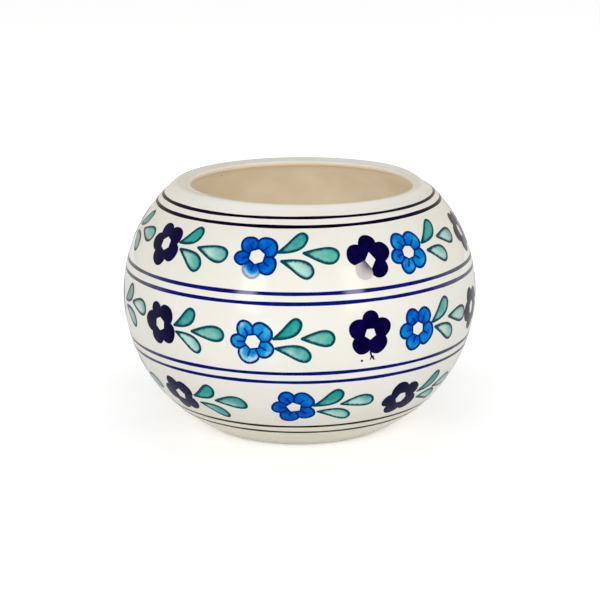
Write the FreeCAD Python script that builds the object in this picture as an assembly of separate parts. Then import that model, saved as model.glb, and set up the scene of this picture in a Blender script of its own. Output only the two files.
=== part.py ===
import FreeCAD, Part
import math
import os

# Cachepot: a ball-shaped pot of fired clay, glazed white outside and buff inside, with pairs
# of painted lines round it. Millimetres. The origin is the middle of the ring it stands on,
# and +Z is the pot's own axis. The sizes of the pot are taken over its glazes.

# The ball and its mouth
belly_radius = 90.0
belly_height = 68.0
total_height = 125.5
mouth_radius = 56.0
wall_thickness = 6.0

# The lip: a soft outer shoulder, a flat land and a tighter nose round the mouth
lip_land_width = 4.9
lip_outer_rounding = 3.0
lip_nose_rounding = 1.5

# The floor, and the cove that the wall rises from
floor_height = 7.0
floor_cove_radius = 14.0

# The standing ring, turned into the underside
foot_radius = 45.4
foot_outer_rounding = 1.5
foot_ring_width = 6.0
foot_ring_depth = 2.5
foot_inner_rounding = 1.0

# The glazes: the white one is wiped off the foot, and the buff one starts on the nose
glaze_thickness = 0.4
bare_foot_height = 1.2
glaze_seam_angle = math.radians(30)

# The painted lines, in pairs, each pair placed from the feature that it follows
line_thickness = 0.2
line_edge_bevel = 0.2
line_width = 1.8
foot_line_width = 1.4
neck_pair_below_lip = 7.35
neck_pair_gap = 3.5
shoulder_pair_above_belly = 17.75
shoulder_pair_gap = 4.7
waist_pair_below_belly = 20.85
waist_pair_gap = 4.7
foot_pair_height = 15.25
foot_pair_gap = 4.3

quarter_turn = math.radians(90)
half_turn = math.radians(180)
full_turn_degrees = 360
axis_point = FreeCAD.Vector(0, 0, 0)
axis_direction = FreeCAD.Vector(0, 0, 1)
closed_within = 1e-6


def point(radius, height):
    return FreeCAD.Vector(radius, 0, height)


def from_centre(centre, radius, angle):
    return centre + FreeCAD.Vector(math.cos(angle), 0, math.sin(angle)) * radius


def angle_to(start, end):
    return math.atan2(end.z - start.z, end.x - start.x)


def bend(centre, radius, start, end):
    """A round stretch of a section, as its first, middle and last points."""
    return [from_centre(centre, radius, angle) for angle in (start, (start + end) / 2, end)]


def revolved(stretches):
    """Turn a closed section about the axis: bends and corners, with straight lines between."""
    edges = []
    for stretch, following in zip(stretches, stretches[1:] + stretches[:1]):
        if len(stretch) > 1:
            edges.append(Part.Arc(*stretch).toShape())
        if not stretch[-1].isEqual(following[0], closed_within):
            edges.append(Part.LineSegment(stretch[-1], following[0]).toShape())
    section = Part.Face(Part.Wire(edges))
    return section.revolve(axis_point, axis_direction, full_turn_degrees)


def belly_arc_radius(reach, rise, inset):
    """Radius of the arc that is upright at the belly and ends tangent to a small rounding.

    The rounding's centre lies reach inside the belly and rise above or below it, and inset
    is the distance from the arc to that centre.
    """
    return (reach**2 + rise**2 - inset**2) / (2 * (reach - inset))


# The two arcs of the ball share the belly, and run into the lip above and the foot below
lip_centre = point(mouth_radius + lip_land_width, total_height - lip_outer_rounding)
foot_centre = point(foot_radius, foot_outer_rounding)
shoulder_radius = belly_arc_radius(
    belly_radius - lip_centre.x, lip_centre.z - belly_height, lip_outer_rounding
)
lower_radius = belly_arc_radius(
    belly_radius - foot_centre.x,
    belly_height - foot_centre.z,
    glaze_thickness + foot_outer_rounding,
)
shoulder_centre = point(belly_radius - shoulder_radius, belly_height)
lower_centre = point(belly_radius - lower_radius, belly_height)
lip_start = angle_to(shoulder_centre, lip_centre)
foot_end = angle_to(lower_centre, foot_centre)

# The inside follows the same centres, one wall further in, to the nose and to the cove
inner_shoulder_radius = shoulder_radius - wall_thickness
inner_lower_radius = lower_radius - wall_thickness
nose_x = mouth_radius + lip_nose_rounding
nose_rise = math.sqrt(
    (inner_shoulder_radius + lip_nose_rounding) ** 2 - (nose_x - shoulder_centre.x) ** 2
)
nose_centre = point(nose_x, belly_height + nose_rise)
nose_end = angle_to(shoulder_centre, nose_centre) + half_turn
cove_z = floor_height + floor_cove_radius
cove_reach = math.sqrt(
    (inner_lower_radius - floor_cove_radius) ** 2 - (belly_height - cove_z) ** 2
)
cove_centre = point(lower_centre.x + cove_reach, cove_z)
cove_start = angle_to(lower_centre, cove_centre)

# The land is the straight line that touches both roundings of the lip
land_slant = math.acos(
    (lip_nose_rounding - lip_outer_rounding) / nose_centre.distanceToPoint(lip_centre)
)
land_angle = angle_to(nose_centre, lip_centre) + land_slant
seam_angle = half_turn - glaze_seam_angle


def outside_run(depth, start):
    """From angle start on the lower arc up to the land, at a depth below the glaze's face."""
    return [
        bend(lower_centre, lower_radius - depth, start, 0),
        bend(shoulder_centre, shoulder_radius - depth, 0, lip_start),
        bend(lip_centre, lip_outer_rounding - depth, lip_start, land_angle),
    ]


def nose_run(depth, start, end):
    return [bend(nose_centre, lip_nose_rounding - depth, start, end)]


def inside_run(depth):
    """From the nose down the wall, round the cove and over the floor to the axis."""
    return [
        bend(shoulder_centre, inner_shoulder_radius + depth, nose_end - half_turn, 0),
        bend(lower_centre, inner_lower_radius + depth, 0, cove_start),
        bend(cove_centre, floor_cove_radius + depth, cove_start, -quarter_turn),
        [point(0, floor_height - depth)],
    ]


def foot_run():
    """From the axis over the sunk underside and round the standing ring."""
    ring_inside = foot_radius - foot_ring_width
    cove_radius = foot_ring_depth - foot_inner_rounding
    cove = point(ring_inside - foot_inner_rounding - cove_radius, foot_inner_rounding)
    inner_edge = point(ring_inside, foot_inner_rounding)
    return [
        [point(0, foot_ring_depth)],
        bend(cove, cove_radius, quarter_turn, 0),
        bend(inner_edge, foot_inner_rounding, half_turn, half_turn + quarter_turn),
        bend(foot_centre, foot_outer_rounding, -quarter_turn, foot_end),
    ]


def clay_body():
    """The fired clay under the glazes, bare only at the foot."""
    outside = outside_run(glaze_thickness, foot_end)
    nose = nose_run(glaze_thickness, land_angle, nose_end)
    return revolved(foot_run() + outside + nose + inside_run(glaze_thickness))


def coat(run):
    """A glaze as thick as the space between its face and the clay, along one run."""
    face = run(0)
    clay = [stretch[::-1] for stretch in reversed(run(glaze_thickness))]
    return revolved(face + clay)


def white_glaze():
    """The white glaze, from just above the foot up over the lip to the seam on the nose."""
    lower_edge = -math.asin((belly_height - bare_foot_height) / lower_radius)
    return coat(
        lambda depth: outside_run(depth, lower_edge) + nose_run(depth, land_angle, seam_angle)
    )


def lining_glaze():
    """The buff glaze, from the seam down over the inner wall and the floor."""
    return coat(lambda depth: nose_run(depth, seam_angle, nose_end) + inside_run(depth))


def painted_line(height, width):
    """A low ring of enamel that follows the white glaze, with bevelled edges."""
    on_shoulder = height > belly_height
    centre, radius = (
        (shoulder_centre, shoulder_radius) if on_shoulder else (lower_centre, lower_radius)
    )
    middle = math.asin((height - belly_height) / radius)
    seat_half = width / 2 / radius
    crest_half = (width / 2 - line_edge_bevel) / radius
    seat = bend(centre, radius, middle - seat_half, middle + seat_half)
    crest = bend(centre, radius + line_thickness, middle + crest_half, middle - crest_half)
    return revolved([seat, crest])


# Each pair of lines: the height of its middle, the gap between its lines, and their width
line_pairs = {
    "neck": (total_height - neck_pair_below_lip, neck_pair_gap, line_width),
    "shoulder": (belly_height + shoulder_pair_above_belly, shoulder_pair_gap, line_width),
    "waist": (belly_height - waist_pair_below_belly, waist_pair_gap, line_width),
    "foot": (foot_pair_height, foot_pair_gap, foot_line_width),
}

pieces = {
    "clay_body": clay_body(),
    "white_glaze": white_glaze(),
    "lining_glaze": lining_glaze(),
}
for place, (middle, gap, width) in line_pairs.items():
    pieces[f"{place}_line_upper"] = painted_line(middle + gap / 2, width)
    pieces[f"{place}_line_lower"] = painted_line(middle - gap / 2, width)

os.makedirs("parts", exist_ok=True)
for name, solid in pieces.items():
    solid.exportStep(f"parts/{name}.step")
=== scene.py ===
import math
import random

import bpy
from mathutils import Matrix, Vector


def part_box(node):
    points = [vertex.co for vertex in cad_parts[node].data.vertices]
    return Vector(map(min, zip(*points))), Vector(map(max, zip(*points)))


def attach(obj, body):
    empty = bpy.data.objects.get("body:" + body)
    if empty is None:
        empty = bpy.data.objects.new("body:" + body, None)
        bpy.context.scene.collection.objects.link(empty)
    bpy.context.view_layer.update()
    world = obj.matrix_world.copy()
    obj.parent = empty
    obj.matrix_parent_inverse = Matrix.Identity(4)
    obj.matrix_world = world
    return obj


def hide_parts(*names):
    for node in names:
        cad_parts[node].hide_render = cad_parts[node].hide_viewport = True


# A glazed cachepot in a white studio, put together in the order in which a potter makes it:
# the fired clay, the two glazes, the banding lines, and then the flowers and leaves.
# Metres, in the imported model's frame. A turn is measured round the pot's axis, from the front
# (-Y, where the camera stands) towards the camera's right (+X).
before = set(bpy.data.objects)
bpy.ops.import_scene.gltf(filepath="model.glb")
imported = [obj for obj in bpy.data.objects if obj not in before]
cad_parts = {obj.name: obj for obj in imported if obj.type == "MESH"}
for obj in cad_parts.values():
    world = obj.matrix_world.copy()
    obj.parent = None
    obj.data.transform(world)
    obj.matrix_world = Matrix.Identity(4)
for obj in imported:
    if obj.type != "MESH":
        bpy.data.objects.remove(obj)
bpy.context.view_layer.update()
# The unevenness of the hand that painted the pot, the same at every run
hand = random.Random(41)


# FIRED CLAY. The thrown pot under its coats: buff clay with fine sand, fired once before it
# was glazed. It shows only where the glaze was wiped off, on the standing ring and on the
# sunk underside, which was turned out when the clay was leather-hard.
coat_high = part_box("white_glaze")[1]
belly_radius, rim_height = coat_high.x, coat_high.z
belly_height = 0.068
mouth_radius = 0.056
shoulder_arc = 0.0730
lower_arc = 0.0750
wall_thickness = 0.006
glaze_thickness = 0.0004
lip_rounding = 0.003
lip_land_width = 0.0049
nose_rounding = 0.0015
floor_height = 0.007
cove_rounding = 0.014
foot_radius = 0.0454
foot_rounding = 0.0015
ring_width = 0.006
ring_depth = 0.0025
ring_inner_rounding = 0.001
flat_underside_margin = 0.003

# How finely each run of the section is divided
lower_steps, shoulder_steps, inner_steps = 64, 52, 46
lip_steps, nose_steps, cove_steps, land_steps = 10, 12, 12, 6
floor_steps, underside_steps, ring_cove_steps, ring_edge_steps = 12, 10, 6, 5

shoulder_centre = Vector((belly_radius - shoulder_arc, belly_height))
lower_centre = Vector((belly_radius - lower_arc, belly_height))
lip_centre = Vector((mouth_radius + lip_land_width, rim_height - lip_rounding))
nose_out = mouth_radius + nose_rounding - shoulder_centre.x
nose_up = math.sqrt((shoulder_arc - wall_thickness + nose_rounding) ** 2 - nose_out**2)
nose_centre = shoulder_centre + Vector((nose_out, nose_up))
cove_up = floor_height + cove_rounding - belly_height
cove_out = math.sqrt((lower_arc - wall_thickness - cove_rounding) ** 2 - cove_up**2)
cove_centre = lower_centre + Vector((cove_out, cove_up))


def slope(start, end):
    return math.atan2(end.y - start.y, end.x - start.x)


lip_turn = slope(shoulder_centre, lip_centre)
nose_turn = slope(shoulder_centre, nose_centre) + math.pi
cove_turn = slope(lower_centre, cove_centre)
land_turn = slope(nose_centre, lip_centre) + math.acos(
    (nose_rounding - lip_rounding) / (lip_centre - nose_centre).length
)
seam_turn = math.radians(160)
foot_turn = -math.acos((foot_radius - lower_centre.x) / (lower_arc - foot_rounding))


def bend(centre, radius, start, end, steps):
    """Points (radius, height) of a rounded stretch of the pot's section."""
    turns = [start + (end - start) * step / steps for step in range(steps + 1)]
    return [centre + radius * Vector((math.cos(turn), math.sin(turn))) for turn in turns]


def outside(depth, start):
    """The outer face from the foot up to the end of the lip's land."""
    return (
        bend(lower_centre, lower_arc - depth, start, 0, lower_steps)
        + bend(shoulder_centre, shoulder_arc - depth, 0, lip_turn, shoulder_steps)[1:]
        + bend(lip_centre, lip_rounding - depth, lip_turn, land_turn, lip_steps)[1:]
    )


def inside(depth):
    """The inner face from the mouth down to the middle of the floor."""
    wall = wall_thickness - depth
    floor = [
        Vector((step / floor_steps * cove_centre.x, floor_height - depth))
        for step in reversed(range(floor_steps))
    ]
    return (
        bend(shoulder_centre, shoulder_arc - wall, nose_turn - math.pi, 0, inner_steps)
        + bend(lower_centre, lower_arc - wall, 0, cove_turn, inner_steps)[1:]
        + bend(cove_centre, cove_rounding + depth, cove_turn, -math.pi / 2, cove_steps)[1:]
        + floor
    )


# What the hand and the kiln did to the pot: shares of its radius and the oval's phase, and then
# metres
firing_shrink, out_of_round, oval_phase = 0.9985, 0.0005, 0.8
rim_lean, mouth_shift = 0.0008, 0.0013
# Where it shows: between which heights it sets in at the rim and in the mouth, how far in from
# the lip, and how far behind the axis the rim is back at its full height
rim_zone, mouth_zone = (0.118, 0.1245), (0.112, 0.121)
lip_edge, lip_reach, back_reach = 0.0009, 0.005, 0.045


def eased(value, start, end):
    """How far a value has come from start to end, from 0 to 1, with a soft start and end."""
    share = min(max((value - start) / (end - start), 0), 1)
    return share * share * (3 - 2 * share)


def thrown(turn, radius, height):
    """A point of the pot as it came off the wheel: a little out of round, its rim leaning to
    the right and the front, and its mouth not quite in the middle."""
    in_the_rim = eased(height, *rim_zone)
    inwards = eased(lip_centre.x + lip_edge - radius, 0, lip_reach)
    in_the_mouth = inwards * eased(height, *mouth_zone)
    radius *= firing_shrink - out_of_round * math.cos(2 * turn + oval_phase) * (1 - in_the_rim)
    across, back = radius * math.sin(turn), -radius * math.cos(turn)
    raised = eased(back, 0, back_reach) * (1 - in_the_mouth / 2)
    drop = rim_lean * (1 + across / lip_centre.x) * (1 - raised) * in_the_rim
    return across + mouth_shift * in_the_mouth, back, height - max(drop, 0)


on_the_axis = 1e-6


def turned(name, section, stations=400):
    """A shell of revolution. The section's points are (radius, height), from the underside
    out over the wall and in again, so that its faces look outwards."""
    points, faces, rings = [], [], []
    for radius, height in section:
        count = stations if radius > on_the_axis else 1
        first = len(points)
        rings.append([first + station % count for station in range(stations)])
        for station in range(count):
            points.append(thrown(math.tau * station / stations, radius, height))
    for below, above in zip(rings, rings[1:]):
        for station in range(stations):
            after = (station + 1) % stations
            corners = (below[station], below[after], above[after], above[station])
            faces.append(tuple(dict.fromkeys(corners)))
    return shape(name, points, faces)


def shape(name, points, faces, **marks):
    """A smooth mesh object. Each of the marks is a list of one value for each point."""
    mesh = bpy.data.meshes.new(name)
    mesh.from_pydata(points, [], faces)
    mesh.polygons.foreach_set("use_smooth", [True] * len(mesh.polygons))
    for mark, values in marks.items():
        mesh.attributes.new(mark, "FLOAT", "POINT").data.foreach_set("value", values)
    made = bpy.data.objects.new(name, mesh)
    bpy.context.collection.objects.link(made)
    return made


ring_inside = foot_radius - ring_width
ring_cove = ring_depth - ring_inner_rounding
underside = [
    Vector((step / underside_steps * (ring_inside - flat_underside_margin), ring_depth))
    for step in range(underside_steps + 1)
]
underside += bend(
    Vector((ring_inside - ring_inner_rounding - ring_cove, ring_inner_rounding)),
    ring_cove, math.pi / 2, 0, ring_cove_steps,
)
underside += bend(
    Vector((ring_inside, ring_inner_rounding)),
    ring_inner_rounding, math.pi, math.pi * 1.5, ring_edge_steps,
)
underside += bend(
    Vector((foot_radius, foot_rounding)), foot_rounding, -math.pi / 2, foot_turn, ring_edge_steps
)
nose = bend(nose_centre, nose_rounding - glaze_thickness, land_turn, nose_turn, nose_steps)
clay_section = underside + outside(glaze_thickness, foot_turn)[1:] + nose
clay = turned("fired_clay_pot", clay_section + inside(glaze_thickness)[1:], stations=240)


def colour(red, green, blue):
    """A colour as a swatch shows it, from 0 to 255, in the light that a shader works in."""
    shares = [part / 255 for part in (red, green, blue)]
    linear = [
        part / 12.92 if part <= 0.04045 else ((part + 0.055) / 1.055) ** 2.4 for part in shares
    ]
    return (*linear, 1)


def add(tree, kind, sockets=None, **settings):
    """A shader node. Its sockets take plain values or other nodes' outputs."""
    node = tree.nodes.new("ShaderNode" + kind)
    for setting, value in settings.items():
        setattr(node, setting, value)
    for socket, value in (sockets or {}).items():
        if isinstance(value, bpy.types.NodeSocket):
            tree.links.new(value, node.inputs[socket])
        else:
            node.inputs[socket].default_value = value
    return node


def blended(tree, share, first, second):
    """A mix of two colours."""
    return add(tree, "Mix", {0: share, 6: first, 7: second}, data_type="RGBA").outputs[2]


def between(tree, value, start, end, low=0.0, high=1.0):
    """Ease a value from low to high as it goes from start to end."""
    node = add(
        tree, "MapRange",
        {"Value": value, "From Min": start, "From Max": end, "To Min": low, "To Max": high},
        interpolation_type="SMOOTHSTEP",
    )
    return node.outputs["Result"]


def rippled(tree, shader, height, strength, distance):
    """Give a material's surface the relief of a height, scaled by a distance in metres."""
    bump = add(tree, "Bump", {"Height": height, "Strength": strength, "Distance": distance})
    tree.links.new(bump.outputs["Normal"], shader.inputs["Normal"])


def finish(name, **settings):
    """A material with one Principled shader, its plain values set on the shader itself."""
    material = bpy.data.materials.new(name)
    material.use_nodes = True
    tree = material.node_tree
    shader = tree.nodes["Principled BSDF"]
    for socket, value in settings.items():
        shader.inputs[socket.replace("_", " ")].default_value = value
    return material, tree, shader


bare_clay, tree, shader = finish("bare_fired_clay", Roughness=0.85, IOR=1.4)
place = add(tree, "TexCoord").outputs["Object"]
sand = add(tree, "TexNoise", {"Vector": place, "Scale": 2600.0, "Detail": 3.0}).outputs["Fac"]
flush = add(tree, "TexNoise", {"Vector": place, "Scale": 60.0, "Detail": 4.0}).outputs["Fac"]
buff = blended(tree, flush, colour(196, 158, 118), colour(214, 184, 148))
grains = between(tree, sand, 0.60, 0.72)
tree.links.new(blended(tree, grains, buff, colour(150, 112, 80)), shader.inputs["Base Color"])
rippled(tree, shader, sand, 0.6, 0.00012)
clay.data.materials.append(bare_clay)
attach(clay, "root")
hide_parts("clay_body")


# WHITE GLAZE. An opaque tin-white coat, dipped upside down and wiped off the foot. It is
# thickest at the lip, where it drained to. Its colour is cream and a little darker towards the
# foot; the extra white at the lip is a painted highlight, standing in for light from above.
def sums(tree, operation, first, second=0.0):
    """One step of arithmetic on two values."""
    return add(tree, "Math", {0: first, 1: second}, operation=operation).outputs["Value"]


def effect(name, sizes, results):
    """A node group that materials share. Its inputs are sizes in metres, with usual values."""
    group = bpy.data.node_groups.new(name, "ShaderNodeTree")
    for socket, size in sizes.items():
        made = group.interface.new_socket(socket, in_out="INPUT", socket_type="NodeSocketFloat")
        made.default_value = size
    for socket in results:
        group.interface.new_socket(socket, in_out="OUTPUT", socket_type="NodeSocketFloat")
    given = group.nodes.new("NodeGroupInput").outputs
    return group, given, group.nodes.new("NodeGroupOutput").inputs


def noise(tree, place, size, detail):
    """Noise whose grains have a size in metres."""
    sockets = {"Vector": place, "Scale": sums(tree, "DIVIDE", 1.0, size), "Detail": detail}
    return add(tree, "TexNoise", sockets).outputs["Fac"]


def fired_skin():
    """The unevenness that a glaze keeps from the kiln: clouds of tone, a slow ripple and
    pinholes."""
    sizes = {"Cloud Size": 0.03, "Ripple Size": 0.012, "Pinhole Size": 0.004}
    group, given, results = effect("fired_skin", sizes, ("Tone", "Height"))
    place = add(group, "TexCoord").outputs["Object"]
    scale = sums(group, "DIVIDE", 1.0, given["Pinhole Size"])
    cells = add(group, "TexVoronoi", {"Vector": place, "Scale": scale}).outputs["Distance"]
    holes = between(group, cells, 0.045, 0.02)
    ripple = noise(group, place, given["Ripple Size"], 2.0)
    group.links.new(noise(group, place, given["Cloud Size"], 3.0), results["Tone"])
    group.links.new(sums(group, "SUBTRACT", ripple, holes), results["Height"])
    return group


def graded(tree, share, *stops):
    """Colours that follow each other as a share goes from 0 to 1, each with its place."""
    ramp = add(tree, "ValToRGB", {"Fac": share})
    marks = ramp.color_ramp.elements
    for stop in stops[1:-1]:
        marks.new(stop[0])
    for mark, (position, shade) in zip(marks, stops):
        mark.position, mark.color = position, shade
    return ramp.outputs["Color"]


skin = fired_skin()
glaze_foot_turn, wiped_slant = -math.radians(64.3), 0.002
wiped_edge = bend(
    lower_centre, lower_arc - glaze_thickness, glaze_foot_turn - wiped_slant, glaze_foot_turn, 1
)
glaze_face = outside(0, glaze_foot_turn + 2 * wiped_slant)
white_nose = bend(nose_centre, nose_rounding, land_turn, seam_turn, lip_steps)
land = [glaze_face[-1].lerp(white_nose[0], step / land_steps) for step in range(1, land_steps)]
white_coat = turned("white_glaze_coat", wiped_edge + glaze_face + land + white_nose)

white, tree, shader = finish("tin_white_glaze", IOR=1.5)
fired = add(tree, "Group", {"Cloud Size": 0.035, "Ripple Size": 0.016}, node_tree=skin).outputs
place = add(tree, "TexCoord").outputs["Object"]
height = add(tree, "SeparateXYZ", {"Vector": place}).outputs["Z"]
level = sums(tree, "ADD", height, sums(tree, "MULTIPLY", fired["Tone"], 0.004))
# The top stop whitens the lip: a painted highlight for light from above, not a colour of the glaze
glaze_tone_and_lip_highlight = graded(
    tree, sums(tree, "DIVIDE", level, rim_height),
    (0.02, colour(230, 223, 204)),
    (0.10, colour(234, 229, 213)),
    (0.22, colour(237, 234, 225)),
    (0.45, colour(240, 238, 229)),
    (0.74, colour(240, 238, 228)),
    (0.92, colour(241, 239, 230)),
    (1.00, colour(252, 250, 243)),
)
clouds = between(tree, fired["Tone"], 0.3, 0.7, 0.0, 0.22)
coat_colour = blended(tree, clouds, glaze_tone_and_lip_highlight, colour(228, 222, 204))
tree.links.new(coat_colour, shader.inputs["Base Color"])
gloss = between(tree, fired["Tone"], 0.3, 0.7, 0.10, 0.16)
tree.links.new(gloss, shader.inputs["Roughness"])
rippled(tree, shader, fired["Height"], 0.35, 0.0001)
white_coat.data.materials.append(white)
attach(white_coat, "root")
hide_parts("white_glaze")


# BUFF LINING GLAZE. A softer, semi-transparent coat poured round the inside and emptied out,
# so it runs from the seam on the nose to the floor and lets the clay's colour through. Over
# the nose it broke thin in the kiln, and is the colour of toast.
buff_nose = bend(nose_centre, nose_rounding, seam_turn, nose_turn, nose_steps)
lining = turned("buff_lining_coat", buff_nose + inside(0)[1:])
broken_zone = 0.1195, 0.1225

buff_glaze, tree, shader = finish("buff_lining_glaze", IOR=1.5)
fired = add(tree, "Group", {"Cloud Size": 0.022, "Ripple Size": 0.010}, node_tree=skin).outputs
clouds = between(tree, fired["Tone"], 0.3, 0.7)
lining_colour = blended(tree, clouds, colour(218, 203, 175), colour(226, 214, 189))
place = add(tree, "TexCoord").outputs["Object"]
height = add(tree, "SeparateXYZ", {"Vector": place}).outputs["Z"]
broken = between(tree, height, *broken_zone, 0.0, 0.65)
lining_colour = blended(tree, broken, lining_colour, colour(196, 178, 148))
tree.links.new(lining_colour, shader.inputs["Base Color"])
tree.links.new(between(tree, fired["Tone"], 0.3, 0.7, 0.34, 0.42), shader.inputs["Roughness"])
rippled(tree, shader, fired["Height"], 0.3, 0.00004)
lining.data.materials.append(buff_glaze)
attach(lining, "root")
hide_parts("lining_glaze")


# BANDING LINES. Four pairs of enamel lines, each drawn with a liner brush held still while
# the pot turned on a banding wheel: near-black at the neck, navy round the band of the belly,
# and thin brown-black at the foot. Each wavers a little, and thickens where it closes.
enamel_lift = 0.00005
# How far a line wavers (metres) and how its load swells (a share), and how often round the pot
wavers = (0.00012, 2), (0.00008, 5)
swells = (0.07, 7), (0.05, 17)
# How much a line thickens where it closes, and half the length (radians) of that place and of
# a painted highlight on it
closing_swell, closing_reach, washed_reach = 0.35, 0.05, 0.07
# How high a line stands at its edges, and how much higher in the middle, as shares of the lift
edge_share, crown_share = 0.3, 0.9


def glaze_arc(climb):
    """The arc of the ball's section above or below the belly, and its centre."""
    return (shoulder_arc, shoulder_centre) if climb >= 0 else (lower_arc, lower_centre)


def on_glaze(turn, climb, lift=0.0):
    """A point on the white glaze. The climb is measured along the glaze, up from the belly."""
    arc, centre = glaze_arc(climb)
    tilt = climb / arc
    radius = centre.x + (arc + lift) * math.cos(tilt)
    return thrown(turn, radius, centre.y + (arc + lift) * math.sin(tilt))


def drift(turn, waves, phases):
    """What a few waves round the pot come to at a turn."""
    sizes = [size * math.sin(often * turn + phase) for (size, often), phase in zip(waves, phases)]
    return sum(sizes)


def painted_band(name, climb, width, tilt, washed=()):
    """A closed enamel line. The tilt is how much higher it runs at the right than in front,
    and at each listed turn the line is paled by a painted highlight, standing in for a softbox's
    reflection."""
    stations, columns = 900, 6
    phases = [hand.uniform(0, math.tau) for wave in wavers + swells]
    closing = math.radians(180 + hand.uniform(-25, 25))
    points, faces, wash = [], [], []
    for station in range(stations):
        turn = math.tau * station / stations
        waver = drift(turn, wavers, phases[:2]) + tilt * math.sin(turn)
        load = 1 + drift(turn, swells, phases[2:])
        load += closing_swell * math.exp(-(((turn - closing) / closing_reach) ** 2))
        past = [(turn - spot + math.pi) % math.tau - math.pi for spot in washed]
        painted_highlight = sum(math.exp(-((angle / washed_reach) ** 2)) for angle in past)
        for column in range(columns + 1):
            side = 2 * column / columns - 1
            lift = enamel_lift * (edge_share + crown_share * (1 - side**4))
            points.append(on_glaze(turn, climb + waver + side * load * width / 2, lift))
            wash.append(painted_highlight)
    for station in range(stations):
        here, after = station * (columns + 1), (station + 1) % stations * (columns + 1)
        for column in range(columns):
            faces.append(
                (here + column, after + column, after + column + 1, here + column + 1)
            )
    return shape(name, points, faces, wash=wash)


def brush_marks():
    """What a loaded brush leaves in an enamel: streaks, and a ragged value to break an edge.
    Also how much of a dark colour's saturation is kept, least at the pot's sides, where the
    greying is a painted sheen."""
    sizes = {"Streak Size": 0.003, "Ragged Size": 0.0007}
    group, given, results = effect("brush_marks", sizes, ("Load", "Ragged", "Unsheened"))
    place = add(group, "TexCoord").outputs["Object"]
    group.links.new(noise(group, place, given["Streak Size"], 3.0), results["Load"])
    group.links.new(noise(group, place, given["Ragged Size"], 1.5), results["Ragged"])
    across = add(group, "SeparateXYZ", {"Vector": place}).outputs["X"]
    sideways = sums(group, "ABSOLUTE", across)
    # Less saturation kept towards the sides: a painted sheen for the grazing reflection of the
    # white room
    group.links.new(between(group, sideways, 0.058, 0.088, 1.0, 0.4), results["Unsheened"])
    return group


def noted(tree, *names):
    """The marks that the points of a shape carry."""
    return [add(tree, "Attribute", attribute_name=name).outputs["Fac"] for name in names]


def shaken(tree, marks, edge):
    """The edge of a stroke, made ragged as a hand leaves it."""
    ragged = sums(tree, "MULTIPLY", sums(tree, "SUBTRACT", marks["Ragged"], 0.5), 0.8)
    return sums(tree, "ADD", edge, ragged)


def with_side_sheen(tree, marks, shade, side_sheen_power=1.0):
    """A dark enamel greyed towards the pot's sides, and more so where the power is higher: a
    painted sheen, standing in for the white room seen in the glaze at a grazing angle. The cobalt
    one is not greyed."""
    saturation_kept = sums(tree, "POWER", marks["Unsheened"], side_sheen_power)
    return add(tree, "HueSaturation", {"Color": shade, "Saturation": saturation_kept}).outputs["Color"]


brush = brush_marks()
enamel_sheen = colour(40, 50, 110)
enamel_ior = 1.15
line_side_sheen_power = 2.2


def line_enamel(name, deep, thin, sheen=enamel_sheen):
    """Enamel for a line: deep where the brush was loaded, and pale lilac at its painted
    highlights.
    """
    material, tree, shader = finish(name, Roughness=0.14, IOR=enamel_ior, Specular_Tint=sheen)
    marks = add(tree, "Group", {"Streak Size": 0.004}, node_tree=brush).outputs
    [wash] = noted(tree, "wash")
    streaks = between(tree, marks["Load"], 0.42, 0.72, 0.0, 0.35)
    enamel = blended(tree, streaks, deep, thin)
    # The pale lilac patches are painted highlights, standing in for the softboxes' reflections
    highlight_and_load = sums(tree, "ADD", wash, sums(tree, "MULTIPLY", marks["Load"], 0.3))
    highlight_share = between(tree, highlight_and_load, 0.4, 1.15, 0.0, 0.7)
    line_colour = blended(tree, highlight_share, enamel, colour(160, 156, 196))
    line_colour = with_side_sheen(tree, marks, line_colour, line_side_sheen_power)
    tree.links.new(line_colour, shader.inputs["Base Color"])
    return material


neck_enamel = line_enamel("near_black_line_enamel", colour(8, 2, 28), colour(26, 14, 52))
navy_line_enamel = line_enamel("navy_line_enamel", colour(8, 17, 110), colour(26, 42, 150))
foot_enamel = line_enamel(
    "brown_black_line_enamel", colour(34, 22, 5), colour(58, 44, 20), colour(110, 84, 44)
)
# Each pair: its enamel and slot, its width, how much higher it runs at the right, and the turns
# (degrees) of the painted highlights on its upper line, where the softboxes would be reflected
line_kinds = (
    ("neck", neck_enamel, "black_navy_enamel", 0.0018, 0.0003, ()),
    ("shoulder", navy_line_enamel, "navy_enamel", 0.0018, 0.0, (-16.5, 17.0)),
    ("waist", navy_line_enamel, "navy_enamel", 0.0018, 0.0, ()),
    ("foot", foot_enamel, "brown_black_enamel", 0.0019, 0.0, ()),
)
for pair, enamel, slot_name, width, tilt, washed in line_kinds:
    for level in ("upper", "lower"):
        node_name = f"{pair}_line_{level}"
        line_low, line_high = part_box(node_name)
        middle = (line_low.z + line_high.z) / 2 - belly_height
        arc = glaze_arc(middle)[0]
        climb = arc * math.asin(middle / arc)
        highlight_turns = [math.radians(spot) for spot in washed if level == "upper"]
        line = painted_band(f"painted_{node_name}", climb, width, tilt, highlight_turns)
        line.data.materials.append(enamel)
        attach(line, "root")
        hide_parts(node_name)


# FLOWERS. Three bands of five-petalled flowers, painted freehand: round dabs set about a bare
# middle. On the cobalt ones a dark outline and a stroke up each petal went on over a watery
# fill; the navy ones are one solid wash. Their sizes are in millimetres on the glaze.
patch_lift = 1.2 * enamel_lift


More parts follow.
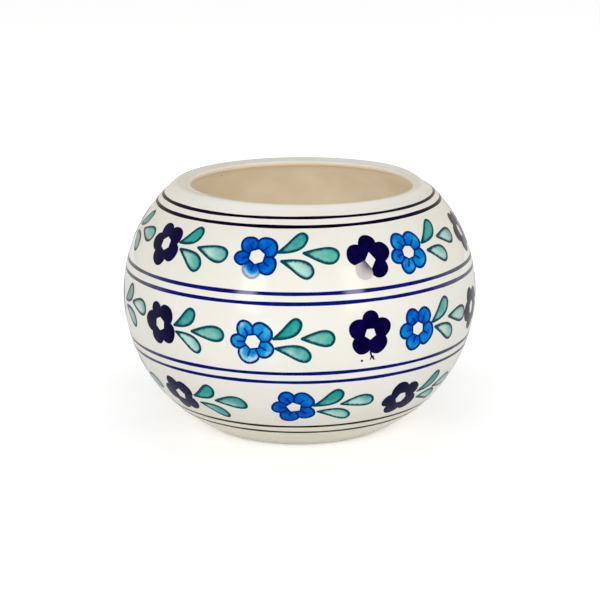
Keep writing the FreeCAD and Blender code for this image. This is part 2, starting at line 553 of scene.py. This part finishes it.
class Brushwork:
    """Patches of enamel that share an object: their points, faces and marks."""

    def __init__(self):
        self.points, self.faces = [], []
        self.marks = {mark: [] for mark in ("ink", "vein", "wash", "tint", "reach")}

    def lay(self, turn, climb, patch):
        """Lay a patch on the glaze, its origin at a turn (degrees) and a climb (millimetres).
        A patch is rows of flat points, each with its marks, joined to their neighbours."""
        for row, places in enumerate(patch):
            for column, (right, up, marks) in enumerate(places):
                level = (climb + up) / 1000
                arc, centre = glaze_arc(level)
                radius = centre.x + arc * math.cos(level / arc)
                around = math.radians(turn) + right / 1000 / radius
                if row and column:
                    last, width = len(self.points), len(places)
                    self.faces.append((last - width - 1, last - 1, last, last - width))
                self.points.append(on_glaze(around, level, patch_lift))
                for mark, values in self.marks.items():
                    values.append(marks.get(mark, 0.0))

    def finished(self, name, enamel, slot_name):
        made = shape(name, self.points, self.faces, **self.marks)
        made.data.materials.append(enamel)
        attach(made, "root")


# From the flower's middle out: the middle of a petal, half its length, and where two petals part
petal_middle, petal_half_length, gap_reach = 6.5, 4.85, 8.3
# How wide the outline is on a petal's edge, round the bare middle and between two petals
petal_outline, ring_outline, gap_outline = 1.2, 0.85, 0.55
stroke_length, stroke_half_width = 3.2, 0.5
usual_gaps = (5, 87, 150, 214, 287)
upright_gaps = (-17, 57, 121, 197, 270)
half_petal_steps, ray_steps, edge_crowding = 12, 20, 1.3
edge_wobbles = (0.012, 3), (0.01, 8)


def dab_edge(off, middle, breadth):
    """How far out a petal's edge lies, at an angle off the petal's own direction."""
    along, across = math.cos(off) / petal_half_length, math.sin(off) / breadth
    lean = along * middle / petal_half_length
    spread = along**2 + across**2
    rest = (middle / petal_half_length) ** 2 - 1
    return (lean + math.sqrt(max(lean**2 - spread * rest, 0))) / spread


def bare_middle(sides, half_width, half_height, turned_by, drop):
    """A straight-sided gap left unpainted in the middle, as a reach for each direction."""
    angles = [math.tau * side / sides + math.radians(turned_by) for side in range(sides)]
    corners = [
        Vector((half_width * math.cos(angle), half_height * math.sin(angle) - drop))
        for angle in angles
    ]

    def reach(angle):
        ray = Vector((math.cos(angle), math.sin(angle)))
        for start, end in zip(corners, corners[1:] + corners[:1]):
            if ray.cross(start) <= 0 <= ray.cross(end):
                return start.cross(end) / ray.cross(end - start)
        return half_width

    return reach


def flower(gaps=usual_gaps, middle=(6, 3.6, 3.6, 20, 0), tint=0.4, washed=()):
    """One flower. The gaps are the directions between its petals, in degrees up from the
    right. Pale petals are given as pairs: the petal's place in that order, and how far. Those of
    the middle band are thin paint; those of the upper band are painted highlights."""
    ring = bare_middle(*middle)
    phases = [hand.uniform(0, math.tau) for wobble in edge_wobbles]
    rays, outline = [], []
    for petal, (start, end) in enumerate(zip(gaps, gaps[1:] + (gaps[0] + 360,))):
        half = math.radians(end - start) / 2
        along = petal_middle + hand.uniform(-0.25, 0.25)
        to_gap = (gap_reach * math.cos(half) - along) / petal_half_length
        breadth = gap_reach * math.sin(half) / math.sqrt(1 - to_gap**2)
        shade = min(max(tint + hand.uniform(-0.12, 0.12), 0), 1)
        closes_the_ring = petal == len(gaps) - 1
        for step in range(2 * half_petal_steps + closes_the_ring):
            off = half * (step / half_petal_steps - 1)
            angle = math.radians(start) + half + off
            ray = Vector((math.cos(angle), math.sin(angle)))
            outer = dab_edge(off, along, breadth) * (1 + drift(angle, edge_wobbles, phases))
            rays.append((ray, off, half, ring(angle), outer, shade, petal))
            outline.append(ray * outer)
    patch = []
    for ray, off, half, inner, outer, shade, petal in rays:
        places = []
        for step in range(ray_steps + 1):
            share = 1 - (1 - step / ray_steps) ** edge_crowding
            out = inner + (outer - inner) * share
            spot = ray * out
            to_edge = math.sqrt(min((spot - corner).length_squared for corner in outline))
            past_stroke = max(out * math.cos(off) - inner - stroke_length - shade, 0)
            marks = {
                "ink": min(
                    to_edge / petal_outline,
                    (out - inner) / ring_outline,
                    out * math.sin(half - abs(off)) / gap_outline,
                ),
                "vein": math.hypot(out * math.sin(off), past_stroke) / stroke_half_width,
                "wash": dict(washed).get(petal, 0.0),
                "tint": shade,
                "reach": share,
            }
            places.append((spot.x, spot.y, marks))
        patch.append(places)
    return patch


cobalt, tree, shader = finish(
    "cobalt_enamel", Roughness=0.14, IOR=enamel_ior, Specular_Tint=enamel_sheen
)
marks = add(tree, "Group", {"Streak Size": 0.0035, "Ragged Size": 0.0011}, node_tree=brush).outputs
ink, vein, wash, tint, reach = noted(tree, "ink", "vein", "wash", "tint", "reach")
streaks = between(tree, marks["Load"], 0.3, 0.7, -0.12, 0.12)
thinness_and_highlight = sums(tree, "ADD", sums(tree, "MULTIPLY", tint, 0.62), streaks)
thinness_and_highlight = sums(tree, "ADD", thinness_and_highlight, between(tree, reach, 0.2, 0.9, 0.0, 0.16))
# Pale petals: thin paint in the middle band, a painted highlight in the upper band, where the
# outline fades as well
washed_out = sums(tree, "MULTIPLY", wash, between(tree, reach, 0.2, 0.95))
thinness_and_highlight = sums(tree, "ADD", thinness_and_highlight, washed_out)
fill = graded(
    tree, thinness_and_highlight,
    (0.0, colour(0, 48, 148)),
    (0.25, colour(0, 86, 196)),
    (0.5, colour(4, 132, 208)),
    (0.75, colour(58, 172, 222)),
    (1.0, colour(206, 224, 228)),
)
outlined = between(tree, shaken(tree, marks, ink), 1.45, 0.65)
stroked = between(tree, shaken(tree, marks, vein), 1.4, 0.7, 0.0, 0.9)
drawn = sums(tree, "MAXIMUM", outlined, stroked)
drawn = sums(tree, "MULTIPLY", drawn, between(tree, washed_out, 0.35, 1.0, 1.0, 0.3))
petals = blended(tree, drawn, fill, colour(0, 40, 120))
tree.links.new(petals, shader.inputs["Base Color"])
rippled(tree, shader, marks["Load"], 0.25, enamel_lift)

navy, tree, shader = finish(
    "navy_enamel", Roughness=0.12, IOR=enamel_ior, Specular_Tint=enamel_sheen
)
marks = add(tree, "Group", {"Streak Size": 0.006, "Ragged Size": 0.0009}, node_tree=brush).outputs
wash, tint, reach = noted(tree, "wash", "tint", "reach")
plum = sums(tree, "ADD", sums(tree, "MULTIPLY", tint, 0.3), marks["Load"])
fill = blended(tree, between(tree, plum, 0.5, 0.85), colour(5, 2, 48), colour(15, 6, 68))
# The pale petal of a navy flower is a painted highlight, grey near the middle and near white
# outward
torn = sums(tree, "ADD", reach, sums(tree, "MULTIPLY", marks["Ragged"], 0.25))
navy_petal_highlight = sums(tree, "MULTIPLY", wash, between(tree, torn, 0.1, 0.45, 0.55, 1.0))
navy_highlight_colour = graded(
    tree, between(tree, torn, 0.1, 1.0),
    (0.0, colour(112, 108, 122)),
    (0.5, colour(170, 165, 170)),
    (1.0, colour(206, 200, 194)),
)
petals = blended(tree, navy_petal_highlight, fill, navy_highlight_colour)
tree.links.new(with_side_sheen(tree, marks, petals), shader.inputs["Base Color"])
rippled(tree, shader, marks["Load"], 0.25, enamel_lift)

# Each flower: its turn (degrees), its climb (millimetres above the belly) and how it is drawn.
# The camera sees the first ones; the band goes on round the back in the same rhythm.
cobalt_flowers = {
    "upper": (
        # The fourth petal of this first flower is paled by a painted highlight
        (-14.2, 37.4, flower((0, 91, 161, 216, 287), (6, 3.8, 3.6, 20, 0), 0.3, ((3, 0.75),))),
        (39.3, 35.4, flower((5, 90, 162, 218, 285), (7, 3.5, 3.2, 0, 0), 0.62)),
    ),
    "middle": (
        (-14.2, -2.8, flower(
            (3, 90, 154, 209, 292), (6, 3.7, 3.5, 10, 0), 0.72, ((1, 0.1), (3, 0.36), (4, 0.16))
        )),
        (38.6, -1.7, flower((17, 88, 150, 211, 285), (6, 3.4, 3.3, 30, 0), 0.42)),
    ),
    "lower": ((-2.2, -39.2, flower((0, 88, 151, 213, 286), (5, 3.6, 3.3, 100, 0), 0.34)),),
}
navy_flowers = {
    "upper": (
        (-52.7, 37.3, flower((7, 85, 148, 215, 294), (6, 3.3, 3.5, 95, 0))),
        # The fourth petal of this navy flower is paled by a painted highlight
        (23.8, 35.4, flower((-17, 56, 123, 202, 272), (4, 2.7, 4.0, 90, 1.2), 0.4, ((3, 1.0),))),
        (78.8, 35.2, flower((5, 85, 148, 215, 290), (5, 3.0, 3.8, 90, 0))),
    ),
    "middle": (
        (-48.3, -1.3, flower((11, 87, 139, 216, 281), (6, 3.3, 3.4, 85, 0))),
        (21.5, -0.3, flower((-13, 58, 119, 192, 269), (5, 3.0, 2.9, 270, 0))),
        (71.5, -2.4, flower((10, 85, 150, 225, 295), (5, 3.1, 3.8, 90, 0))),
    ),
    "lower": (
        (-47.7, -40.8, flower((0, 78, 144, 223, 280), (5, 3.2, 3.6, 80, 0))),
        (37.8, -40.5, flower((6, 77, 151, 211, 284), (6, 3.1, 3.6, 60, 0))),
    ),
}
hidden_flowers = {
    "upper": (37.0, (116.9, 155.1, 193.2, 231.4, 267.0)),
    "middle": (-1.5, (113.0, 154.5, 196.0, 237.5, 275.5)),
    "lower": (-40.3, (84.7, 131.6, 178.6, 225.5, 272.4)),
}
for band, (climb, turns) in hidden_flowers.items():
    cobalt_work, navy_work = Brushwork(), Brushwork()
    for work, flowers in ((cobalt_work, cobalt_flowers[band]), (navy_work, navy_flowers[band])):
        for turn, flower_climb, patch in flowers:
            work.lay(turn, flower_climb, patch)
    for order, turn in enumerate(turns):
        is_navy = order % 2 == 1
        gaps = upright_gaps if order == 3 else usual_gaps
        gaps = tuple(gap + hand.uniform(-5, 5) for gap in gaps)
        half = hand.uniform(3.0, 3.7)
        sides, work = (5, navy_work) if is_navy else (6, cobalt_work)
        middle = (sides, half, half * hand.uniform(0.95, 1.1), hand.uniform(0, 90), 0)
        drawn = flower(gaps, middle, hand.uniform(0.25, 0.65))
        work.lay(turn, climb + hand.uniform(-0.8, 0.8), drawn)
    cobalt_work.finished(f"{band}_cobalt_flowers", cobalt, "cobalt_enamel")
    navy_work.finished(f"{band}_navy_flowers", navy, "navy_enamel")


# LEAVES. Three drop-shaped leaves to the right of a flower, pressed from a pointed brush and
# pulled away from the petals: a sea-green fill that thins to one side, inside a dark teal
# outline that is heaviest at the tip.
leaf_outline, tip_outline = 1.4, 2.1
tip_reach, tip_half_width = 0.8, 0.5
# The shares of a leaf over which its tip and its tip's outline run out, and where its fill is
# thinnest, along it and across
tip_run, tip_outline_run, thinnest_along, thinnest_across = 0.4, 0.3, 0.4, -0.4
leaf_rows, half_leaf_columns = 32, 8


def leaf(tip, end, half_width, bow, thin):
    """One leaf from its tip to its round end. The bow bends its middle to the left."""
    way = (end - tip).normalized()
    start = tip - way * tip_reach
    side = Vector((-way.y, way.x))
    length = (end - start).length

    def spot_at(swing, wing):
        """A flat point at a swing from tip to end, and a wing from the right edge to the left."""
        share = math.sin(swing)
        half = half_width * math.sin(2 * swing) + tip_half_width * max(1 - share / tip_run, 0)
        offset = bow * math.sin(math.pi * min(share * 1.1, 1)) + wing * half
        return start + way * length * share + side * offset

    swings = [math.pi / 2 * row / leaf_rows for row in range(leaf_rows + 1)]
    outline = [spot_at(swing, wing) for swing in swings for wing in (-1, 1)]
    tint = hand.uniform(0, 1)
    patch = []
    for swing in swings:
        share = math.sin(swing)
        heavier = (tip_outline - leaf_outline) * max(1 - share / tip_outline_run, 0)
        thinness = thin * (1.15 - abs(share - thinnest_along))
        places = []
        for column in range(2 * half_leaf_columns + 1):
            wing = column / half_leaf_columns - 1
            spot = spot_at(swing, wing)
            to_edge = math.sqrt(min((spot - corner).length_squared for corner in outline))
            marks = {
                "ink": to_edge / (leaf_outline + heavier),
                "wash": thinness * (1 - 0.4 * abs(wing - thinnest_across)),
                "tint": tint,
            }
            places.append((spot.x, spot.y, marks))
        patch.append(places)
    return patch


sea_green, tree, shader = finish(
    "sea_green_enamel", Roughness=0.14, IOR=enamel_ior, Specular_Tint=enamel_sheen
)
marks = add(tree, "Group", {"Streak Size": 0.006, "Ragged Size": 0.0012}, node_tree=brush).outputs
ink, wash, tint = noted(tree, "ink", "wash", "tint")
thinness_and_highlight = sums(tree, "ADD", wash, between(tree, marks["Load"], 0.3, 0.7, -0.1, 0.1))
body = blended(tree, tint, colour(8, 142, 146), colour(62, 170, 154))
body = blended(tree, between(tree, thinness_and_highlight, 0.1, 0.9), body, colour(182, 224, 210))
outlined = between(tree, shaken(tree, marks, ink), 1.35, 0.6)
leaves = blended(tree, outlined, body, colour(0, 72, 86))
tree.links.new(with_side_sheen(tree, marks, leaves), shader.inputs["Base Color"])
rippled(tree, shader, marks["Load"], 0.25, enamel_lift)

# Each sprig: its turn (degrees), its climb (millimetres) and its upper, right and lower leaf, as
# tip and end from the flower's middle
usual_sprig = ((10.5, 2), (23, 10.5)), ((23, 1.5), (39.5, 0.5)), ((12, -2), (27, -8.5))
sprigs = {
    "upper": (
        (-90.6, 37.2, usual_sprig),
        (-52.7, 37.3, (
            ((10, 2.5), (21, 10.5)), ((22.5, 1.5), (40, -1.5)), ((12, -1), (27.5, -8.5))
        )),
        (-14.2, 37.4, (((10, 2.5), (22.5, 11)), ((22, 2), (39, -0.5)), ((12, -2), (27.5, -8.5)))),
        (39.3, 35.4, (((10.5, 3), (23.5, 12)), ((24, 3.5), (40, 1)), ((13, -1.5), (28, -7)))),
    ),
    "middle": (
        (-80.6, -1.5, (((10, 3.5), (23, 12.5)), ((23, 5), (38.5, 4.5)), ((12, 0.5), (27, -5.5)))),
        (-48.3, -1.3, (((10.5, 1.5), (23, 10)), ((21.5, 0), (39.5, 0.5)), ((11.5, -2), (26, -9)))),
        (-14.2, -2.8, (((10, 2), (23, 10.5)), ((23.5, 2), (39, 1.5)), ((11, -3), (27.5, -7.5)))),
        (38.6, -1.7, (
            ((9.5, 1.5), (22, 11)), ((23, 1.5), (40.5, -0.5)), ((12, -1.5), (27, -8.5))
        )),
    ),
    "lower": (
        (-87.6, -40.3, usual_sprig),
        (-47.7, -40.8, (((11, 2), (25.5, 10)), ((24, 1.5), (41, 2.5)), ((13, -2.5), (27, -8.5)))),
        (-2.2, -39.2, (((9.5, 1), (24, 9.5)), ((23, 1), (39.5, 2.5)), ((11.5, -3.5), (27, -8)))),
        (37.8, -40.5, (((11, 1.5), (25, 10)), ((24, 0.5), (40.5, 2)), ((13, -3.5), (28.5, -6)))),
    ),
}
# How each of the three leaves is pressed: its half width, its bow and how thin its fill runs
leaf_manner = (3.8, -1.1, 0.35), (4.15, 0.3, 0.72), (3.95, 0.9, 0.9)
# The last flower in sight of a band, where its sprig is hidden already
last_in_sight = {"upper": (78.8,), "middle": (71.5,), "lower": ()}
for band, (climb, turns) in hidden_flowers.items():
    work = Brushwork()
    behind = tuple((turn, climb, usual_sprig) for turn in last_in_sight[band] + turns[:-1])
    for turn, sprig_climb, sprig in sprigs[band] + behind:
        for (tip, end), (half_width, bow, thin) in zip(sprig, leaf_manner):
            shift = Vector((hand.uniform(-0.4, 0.4), hand.uniform(-0.3, 0.3)))
            if sprig is not usual_sprig:
                shift = Vector((0, 0))
            half_width *= hand.uniform(0.97, 1.03)
            thin *= hand.uniform(0.5, 1.15)
            drawn = leaf(Vector(tip) + shift, Vector(end) + shift * 2, half_width, bow, thin)
            work.lay(turn, sprig_climb, drawn)
    work.finished(f"{band}_leaves", sea_green, "leaf_enamel")


# SLIPS OF THE BRUSH. A trickle that forked below a navy petal of the middle band, the spot
# beside it, and an iron speck that bloomed through the lining glaze.
slip_steps = 12


def slip(start, end, half_width):
    """A short stroke of enamel with round ends."""
    start, end = Vector(start), Vector(end)
    way = (end - start).normalized()
    side = Vector((-way.y, way.x))
    patch = []
    for step in range(slip_steps + 1):
        swing = math.pi * step / slip_steps
        spine = start.lerp(end, (1 - math.cos(swing)) / 2)
        half = half_width * math.sqrt(math.sin(swing))
        edge = [spine + side * half * across for across in (-1, 0, 1)]
        patch.append([(spot.x, spot.y, {"tint": 0.3}) for spot in edge])
    return patch


slips = Brushwork()
for start, end, half_width in (
    ((0.1, -8.5), (1.1, -11.6), 0.45),
    ((1.0, -11.0), (0.5, -13.3), 0.35),
    ((0.9, -10.8), (2.6, -13.4), 0.42),
    ((1.1, -11.7), (2.4, -11.3), 0.3),
    ((-4.3, -13.2), (-3.2, -13.2), 0.6),
):
    slips.lay(21.5, -0.3, slip(start, end, half_width))
slips.finished("navy_slips", navy, "navy_enamel")

speck_turn, speck_tilt = math.radians(222.5), math.radians(49.2)
speck_size, speck_sides = 0.0005, 8
inner_arc = shoulder_arc - wall_thickness - enamel_lift
speck_points, speck_faces = [], []
for out in (0.0, speck_size):
    for side in range(speck_sides):
        angle = math.tau * side / speck_sides
        tilt = speck_tilt + out * math.sin(angle) / shoulder_arc
        radius = shoulder_centre.x + inner_arc * math.cos(tilt)
        turn = speck_turn + out * math.cos(angle) / radius
        speck_points.append(thrown(turn, radius, belly_height + inner_arc * math.sin(tilt)))
for side in range(speck_sides):
    after = (side + 1) % speck_sides
    speck_faces.append((side, after, speck_sides + after, speck_sides + side))
speck = shape("iron_speck", speck_points, speck_faces)
iron, tree, shader = finish("iron_speck", Roughness=0.35, IOR=1.4)
place = add(tree, "TexCoord").outputs["Object"]
rust = add(tree, "TexNoise", {"Vector": place, "Scale": 3000.0}).outputs["Fac"]
rusty = blended(tree, rust, colour(70, 42, 24), colour(116, 82, 52))
tree.links.new(rusty, shader.inputs["Base Color"])
speck.data.materials.append(iron)
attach(speck, "root")


# STUDIO. A plain white table in a white room. Two upright softboxes stand left and right of the
# camera, two wide fills beside it, two low ones at the pot's sides and two behind, and a small
# panel in the mouth lights the lining alone. The camera looks slightly down.
def lamp(name, turn, rise, away, size, watts, aim=(0, 0, 0.08), spread=180, mirrored=False):
    """An area lamp aimed at a point, from a turn and a rise (degrees) and so far away. Size is
    (width, height). Only a mirrored one shows in the glazes."""
    light = bpy.data.lights.new(name, "AREA")
    light.shape, light.energy, light.spread = "RECTANGLE", watts, math.radians(spread)
    light.size, light.size_y = size
    turn, rise, aim = math.radians(turn), math.radians(rise), Vector(aim)
    level = math.cos(rise)
    towards = Vector((math.sin(turn) * level, -math.cos(turn) * level, math.sin(rise)))
    made = bpy.data.objects.new(name, light)
    made.location = aim + away * towards
    made.rotation_euler = towards.to_track_quat("Z", "Y").to_euler()
    made.visible_camera = False
    made.visible_glossy = mirrored
    bpy.context.collection.objects.link(made)
    return made


for side, turn in (("left", -30), ("right", 36)):
    lamp(f"{side}_softbox", turn, 17, 1.3, (0.34, 0.75), 2.0, mirrored=True)
for side, sign in (("left", -1), ("right", 1)):
    lamp(f"{side}_front_fill", sign * 14, 20, 1.6, (0.7, 0.35), 4.1)
    lamp(f"{side}_low_fill", sign * 78, 4, 1.4, (1.0, 0.3), 2.8)
    lamp(f"{side}_back_fill", sign * 140, 10, 1.5, (1.0, 0.5), 4.0)
panel = lamp("mouth_panel", 0, -6, 0.09, (0.09, 0.014), 0.032, (0, 0.058, 0.113), spread=150)
lit_by_panel = bpy.data.collections.new("lit_by_panel")
lit_by_panel.objects.link(lining)
panel.light_linking.receiver_collection = lit_by_panel

room_light, room_mirrored, table_mirrored = 0.35, 0.8, 0.15
world = bpy.data.worlds.new("white_room")
world.use_nodes = True
tree = world.node_tree
tree.nodes.clear()
path = add(tree, "LightPath").outputs
mirrored = sums(tree, "MULTIPLY", path["Is Glossy Ray"], room_mirrored)
seen = sums(tree, "MAXIMUM", path["Is Camera Ray"], path["Is Transmission Ray"])
strength = sums(tree, "MAXIMUM", sums(tree, "MAXIMUM", seen, mirrored), room_light)
tone = blended(tree, path["Is Glossy Ray"], colour(255, 255, 255), colour(255, 244, 222))
room = add(tree, "Background", {"Color": tone, "Strength": strength})
sky = add(tree, "OutputWorld")
tree.links.new(room.outputs["Background"], sky.inputs["Surface"])
bpy.context.scene.world = world

half_table, table_drop = 3.0, 0.00005
corners = [
    (x * half_table, y * half_table, -table_drop) for x, y in ((-1, -1), (1, -1), (1, 1), (-1, 1))
]
table = shape("white_table", corners, [(0, 1, 2, 3)])
table_white, tree, shader = finish(
    "table_white", Roughness=0.9, IOR=1.1, Base_Color=(0.93, 0.93, 0.93, 1), Emission_Strength=1.0
)
path = add(tree, "LightPath").outputs
mirrored = sums(tree, "MAXIMUM", path["Is Glossy Ray"], path["Is Transmission Ray"])
mirrored = sums(tree, "MULTIPLY", mirrored, table_mirrored)
place = add(tree, "TexCoord").outputs["Object"]
distance = add(tree, "VectorMath", {"Vector": place}, operation="LENGTH").outputs["Value"]
backdrop = between(tree, distance, 0.06, 0.24, 0.38, 0.64)
seen = sums(tree, "MAXIMUM", sums(tree, "MULTIPLY", path["Is Camera Ray"], backdrop), mirrored)
glow = add(tree, "CombineColor", {"Red": seen, "Green": seen, "Blue": seen})
tree.links.new(glow.outputs["Color"], shader.inputs["Emission Color"])
table.data.materials.append(table_white)

# The camera as fitted to the photograph: pixels of its frame, then metres, then radians
frame_width, focal_length, shift_right, shift_up = 600, 1728.7, 0.33, 0.5
camera_distance, aim_height = 0.8895, 0.0617
camera_rise, camera_roll = math.radians(14.94), math.radians(-0.407)
camera_data = bpy.data.cameras.new("camera")
camera_data.sensor_width = 36
camera_data.lens = focal_length / frame_width * camera_data.sensor_width
camera_data.shift_x, camera_data.shift_y = shift_right / frame_width, shift_up / frame_width
camera = bpy.data.objects.new("camera", camera_data)
away = Vector((0, -math.cos(camera_rise), math.sin(camera_rise)))
stand = Matrix.Translation(Vector((0, 0, aim_height)) + away * camera_distance)
level_view = away.to_track_quat("Z", "Y").to_matrix().to_4x4()
camera.matrix_world = stand @ level_view @ Matrix.Rotation(camera_roll, 4, "Z")
bpy.context.collection.objects.link(camera)
bpy.context.scene.camera = camera
bpy.context.scene.view_settings.view_transform = "Standard"
